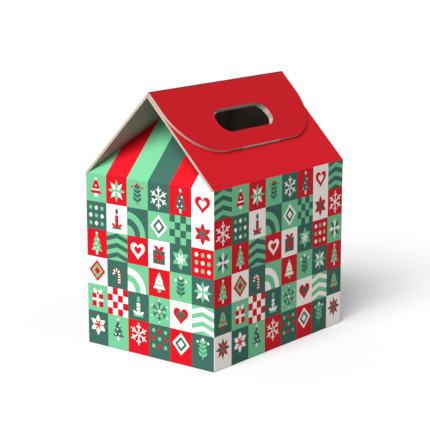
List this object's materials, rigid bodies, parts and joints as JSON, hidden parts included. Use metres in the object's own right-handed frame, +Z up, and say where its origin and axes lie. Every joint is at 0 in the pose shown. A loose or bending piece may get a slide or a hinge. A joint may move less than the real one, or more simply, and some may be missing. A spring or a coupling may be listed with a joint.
{
  "type": "house gift box",
  "caption": "House-shaped folding carton with a pitched roof, a slot handle through both slopes and a closure flap that tucks into the roof.",
  "frame": {"origin": "middle of the base, on the surface that the box stands on", "axes": "+Z up; X across the two roof slopes, with the closure flap on the +X slope; Y along the ridge, with the front gable at -Y"},
  "size_m": [0.12, 0.16, 0.1938],
  "materials": {
    "printed_board": "printed board with a patchwork of red, mint, dark green and white, smooth and slightly satin; bare edges and inside",
    "flap_board": "plain red printed board, smooth and slightly satin, with bare cut edges"
  },
  "bodies": {
    "carton": {"carton": "printed_board"},
    "closure_flap": {"closure_flap": "flap_board"}
  },
  "joints": [
    {"name": "closure_flap_fold", "type": "hinge", "parent": "carton", "child": "closure_flap", "pos_m": [0.00139, 0, 0.194], "axis": [0, -1, 0], "range_deg": [0, 92]}
  ]
}
